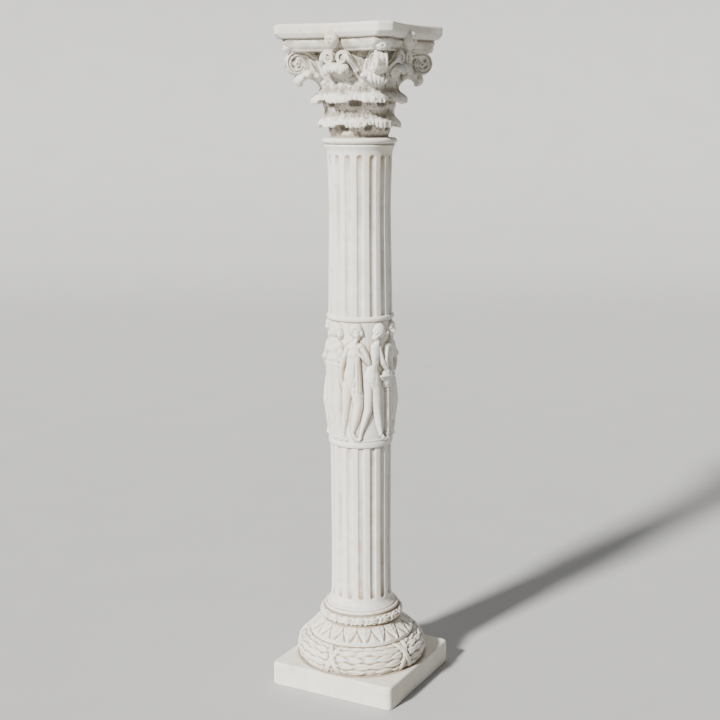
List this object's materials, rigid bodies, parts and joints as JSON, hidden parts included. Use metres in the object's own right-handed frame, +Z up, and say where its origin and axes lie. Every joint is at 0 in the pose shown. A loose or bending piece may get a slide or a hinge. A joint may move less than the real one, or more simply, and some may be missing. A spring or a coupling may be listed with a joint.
{
  "type": "garden column",
  "caption": "Cast stone garden column: moulded base on a square plinth, fluted shaft with a band of relief figures, leafy capital with corner volutes.",
  "frame": {"origin": "centre of the plinth's underside, on the ground", "axes": "+Z up along the column; the plinth's sides face X and Y, and the camera of the picture stands between -Y and +X"},
  "size_m": [0.374, 0.374, 1.8],
  "materials": {
    "base_stone": "matt ivory cast stone with beige dirt in the carving",
    "shaft_stone": "matt ivory cast stone, smooth, with faint brown at the flute ends",
    "capital_stone": "matt ivory cast stone, pitted and greyer on the bell"
  },
  "bodies": {
    "root": {"base": "base_stone", "shaft": "shaft_stone", "capital": "capital_stone"}
  },
  "joints": []
}
